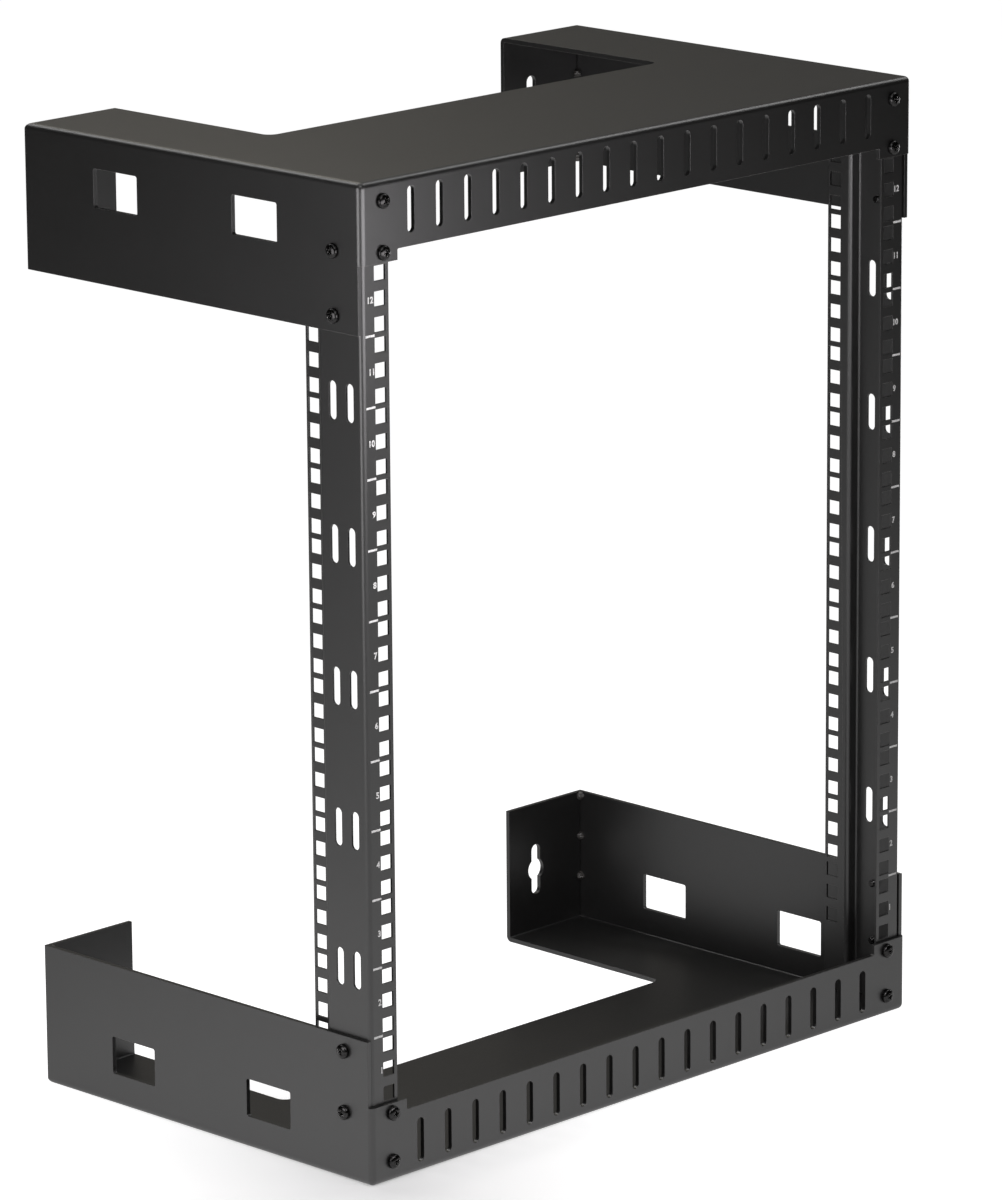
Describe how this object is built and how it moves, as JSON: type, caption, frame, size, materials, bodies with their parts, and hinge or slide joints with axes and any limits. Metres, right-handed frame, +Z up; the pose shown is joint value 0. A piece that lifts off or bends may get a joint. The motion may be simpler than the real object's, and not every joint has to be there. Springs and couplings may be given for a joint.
{
  "type": "wall mount open frame rack",
  "caption": "Open rack frame for a wall or bench: two folded plate brackets joined by two slotted rails with square holes for cage nuts.",
  "frame": {"origin": "floor plane, under the middle of the whole part", "axes": "+X to the right as seen from the front, +Y from the front towards the wall, +Z up"},
  "size_m": [0.5094, 0.3058, 0.6354],
  "materials": {
    "bracket_coat": "satin black powder coat",
    "rail_coat": "satin black powder coat",
    "black_screw": "black zinc, semi-gloss"
  },
  "bodies": {
    "root": {"bottom_bracket": "bracket_coat", "top_bracket": "bracket_coat", "left_rail": "rail_coat", "right_rail": "rail_coat", "front_screw_1": "black_screw", "front_screw_2": "black_screw", "front_screw_3": "black_screw", "front_screw_4": "black_screw", "front_screw_5": "black_screw", "front_screw_6": "black_screw", "front_screw_7": "black_screw", "front_screw_8": "black_screw", "side_screw_1": "black_screw", "side_screw_2": "black_screw", "side_screw_3": "black_screw", "side_screw_4": "black_screw", "side_screw_5": "black_screw", "side_screw_6": "black_screw", "side_screw_7": "black_screw", "side_screw_8": "black_screw"}
  },
  "joints": []
}
